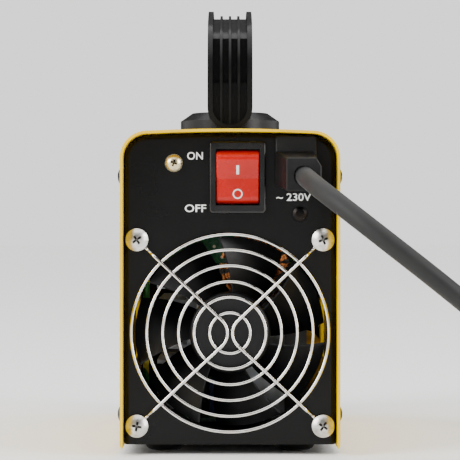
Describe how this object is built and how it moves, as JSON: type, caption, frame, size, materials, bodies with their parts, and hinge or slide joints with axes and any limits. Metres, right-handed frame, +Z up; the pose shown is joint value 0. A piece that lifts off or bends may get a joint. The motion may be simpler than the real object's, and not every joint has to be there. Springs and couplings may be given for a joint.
{
  "type": "stick welding inverter",
  "caption": "Small stick welding inverter: folded steel cover, arched carrying handle, rear fan behind a wire guard, rocker switch, mains cord, front sockets and current knob.",
  "frame": {"origin": "centre of the footprint of the machine without its cord, on the floor", "axes": "+X to the right seen from behind, +Y from the rear (fan) panel to the front (socket) panel, +Z up"},
  "size_m": [0.3228, 0.2961, 0.2056],
  "materials": {
    "cover_paint": "satin",
    "panel_paint": "satin",
    "overlay_print": "satin",
    "handle_plastic": "satin",
    "zinc_steel": "satin",
    "foot_rubber": "matt",
    "black_steel": "satin",
    "fan_plastic": "satin",
    "rotor_plastic": "satin",
    "magnet": "matt",
    "stator_copper": "satin",
    "plain_steel": "satin",
    "brass": "satin",
    "guard_chrome": "polished",
    "screw_chrome": "polished",
    "switch_black": "gloss",
    "rocker_red": "gloss",
    "yellow_zinc": "satin",
    "gland_nylon": "matt",
    "cord_rubber": "matt",
    "tie_fabric": "matt",
    "plug_rubber": "matt",
    "pin_nickel": "polished",
    "knob_plastic": "satin",
    "display_glass": "gloss",
    "lamp_plastic": "gloss",
    "board_green": "satin",
    "socket_plastic": "satin",
    "copper": "satin",
    "sink_aluminium": "satin",
    "epoxy_black": "matt",
    "capacitor_sleeve": "gloss",
    "ferrite": "matt",
    "winding_tape": "satin",
    "relay_blue": "gloss",
    "wire_brown": "satin",
    "wire_green": "satin"
  },
  "bodies": {
    "case": {"cover": "cover_paint", "base_tray": "panel_paint", "rear_panel": "panel_paint", "front_panel": "panel_paint", "control_overlay": "overlay_print", "handle": "handle_plastic", "handle_pads": "handle_plastic", "handle_screws": "zinc_steel", "rubber_feet": "foot_rubber", "foot_nuts": "zinc_steel", "cover_screws": "black_steel", "fan_frame": "fan_plastic", "fan_stator": "stator_copper", "fan_bearing": "brass", "finger_guard": "guard_chrome", "fan_screws": "screw_chrome", "switch_housing": "switch_black", "switch_terminals": "brass", "earth_screw": "yellow_zinc", "earth_nut": "yellow_zinc", "blind_rivet": "black_steel", "cable_gland": "gland_nylon", "gland_locknut": "gland_nylon", "power_cord": "cord_rubber", "cord_coil": "cord_rubber", "coil_ties": "tie_fabric", "plug_body": "plug_rubber", "plug_pins": "pin_nickel", "potentiometer": "plain_steel", "potentiometer_nut": "zinc_steel", "display_window": "display_glass", "indicator_leds": "lamp_plastic", "control_board": "board_green", "socket_insulators": "socket_plastic", "socket_contacts": "brass", "socket_nuts": "zinc_steel", "busbars": "copper", "main_board": "board_green", "board_standoffs": "brass", "board_screws": "zinc_steel", "heat_sinks": "sink_aluminium", "transistors": "epoxy_black", "bulk_capacitors": "capacitor_sleeve", "transformer_core": "ferrite", "transformer_windings": "winding_tape", "choke_core": "ferrite", "choke_winding": "copper", "choke_bracket": "zinc_steel", "bridge_rectifier": "epoxy_black", "relay": "relay_blue", "mains_wires": "wire_brown", "earth_wire": "wire_green"},
    "fan": {"fan_rotor": "rotor_plastic", "fan_magnet_ring": "magnet", "fan_shaft": "plain_steel"},
    "rocker": {"switch_rocker": "rocker_red"},
    "knob": {"current_knob": "knob_plastic", "knob_shaft": "plain_steel"}
  },
  "joints": [
    {"name": "fan_spin", "type": "hinge", "parent": "case", "child": "fan", "pos_m": [0, -0.0945, 0.054], "axis": [0, 1, 0], "continuous": true},
    {"name": "rocker_tip", "type": "hinge", "parent": "case", "child": "rocker", "pos_m": [0.0034, -0.1025, 0.1229], "axis": [-1, 0, 0], "range_deg": [0, 20]},
    {"name": "knob_turn", "type": "hinge", "parent": "case", "child": "knob", "pos_m": [0, 0.1175, 0.09], "axis": [0, -1, 0], "range_deg": [-135, 135]}
  ]
}
